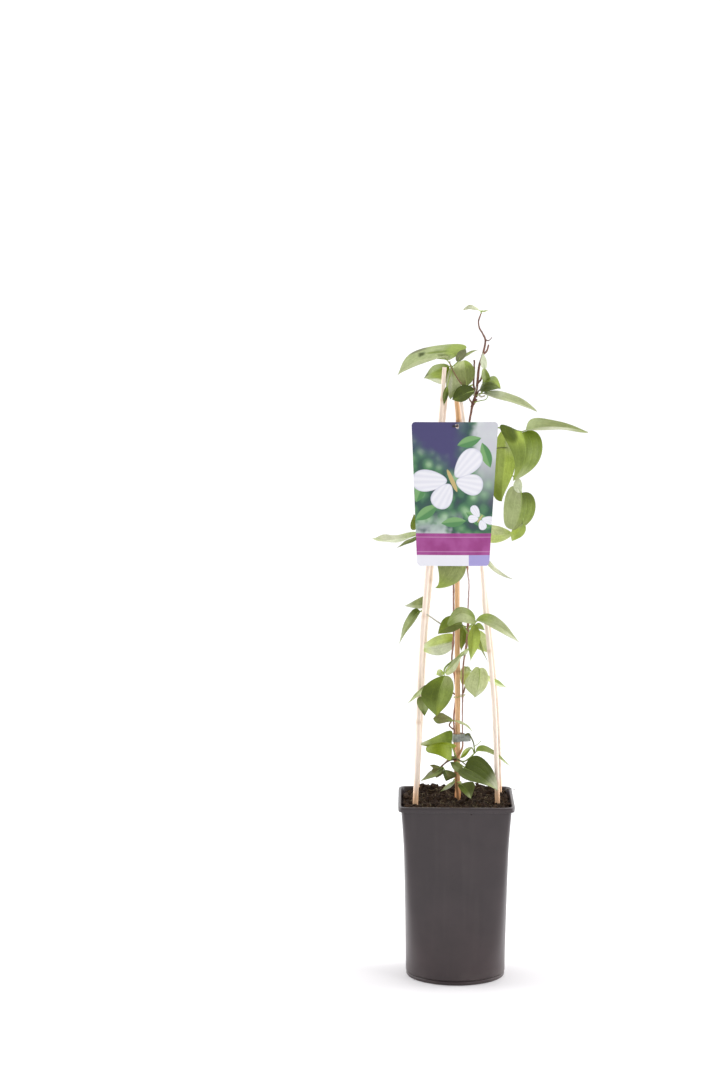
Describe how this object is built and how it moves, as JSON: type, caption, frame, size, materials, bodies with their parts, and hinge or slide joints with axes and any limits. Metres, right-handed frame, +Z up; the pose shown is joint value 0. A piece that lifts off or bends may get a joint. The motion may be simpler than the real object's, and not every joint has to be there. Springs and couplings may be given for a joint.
{
  "type": "clematis plant on a cane trellis",
  "caption": "Young clematis climbing a pyramid of bamboo canes in a tall plastic grower's pot with a square rim and a round body, with a hanging picture label.",
  "frame": {"origin": "middle of the pot's flat underside, on the ground", "axes": "+Z up along the pot's axis; -Y is the front, the side the picture label faces; +X to the right seen from the front"},
  "size_m": [0.2534, 0.138, 0.8037],
  "materials": {
    "pot_plastic": "satin dark grey injection-moulded plastic",
    "potting_soil": "dull dark peat and fibre",
    "bamboo_pale": "pale split-smooth bamboo",
    "bamboo_amber": "amber bamboo, satin",
    "stem_bark": "thin reddish brown bark",
    "label_card": "printed gloss plastic card",
    "tie_dark": "dark soft plastic",
    "grey_tape": "ribbed grey-green binding tape",
    "raffia_wire": "coated garden wire",
    "leaf_green": "thin leaf, satin above and dull below"
  },
  "bodies": {
    "root": {"pot": "pot_plastic", "soil": "potting_soil", "cane_front_left": "bamboo_pale", "cane_back_left": "bamboo_pale", "cane_centre": "bamboo_amber", "cane_front_right": "bamboo_pale", "cane_back_right": "bamboo_pale", "climbing_stems": "stem_bark", "plant_label": "label_card", "label_tie": "tie_dark", "tape_tie": "grey_tape", "wire_tie": "raffia_wire", "tip_leaf": "leaf_green", "crown_left_leaf": "leaf_green", "crown_middle_leaf": "leaf_green", "crown_right_leaf": "leaf_green", "right_upper_leaf": "leaf_green", "right_lower_leaf": "leaf_green", "right_label_leaf": "leaf_green", "left_leaf": "leaf_green", "under_label_leaf": "leaf_green", "outer_left_leaf": "leaf_green", "mid_front_leaf": "leaf_green", "mid_low_leaf": "leaf_green", "mid_left_leaf": "leaf_green", "mid_back_leaf": "leaf_green", "large_left_leaf": "leaf_green", "hidden_left_leaf": "leaf_green", "right_mid_leaf": "leaf_green", "small_low_leaf": "leaf_green", "yellow_left_leaf": "leaf_green", "right_low_leaf": "leaf_green", "low_right_leaf": "leaf_green", "low_left_leaf": "leaf_green", "base_right_leaf": "leaf_green", "base_left_leaf": "leaf_green"}
  },
  "joints": []
}
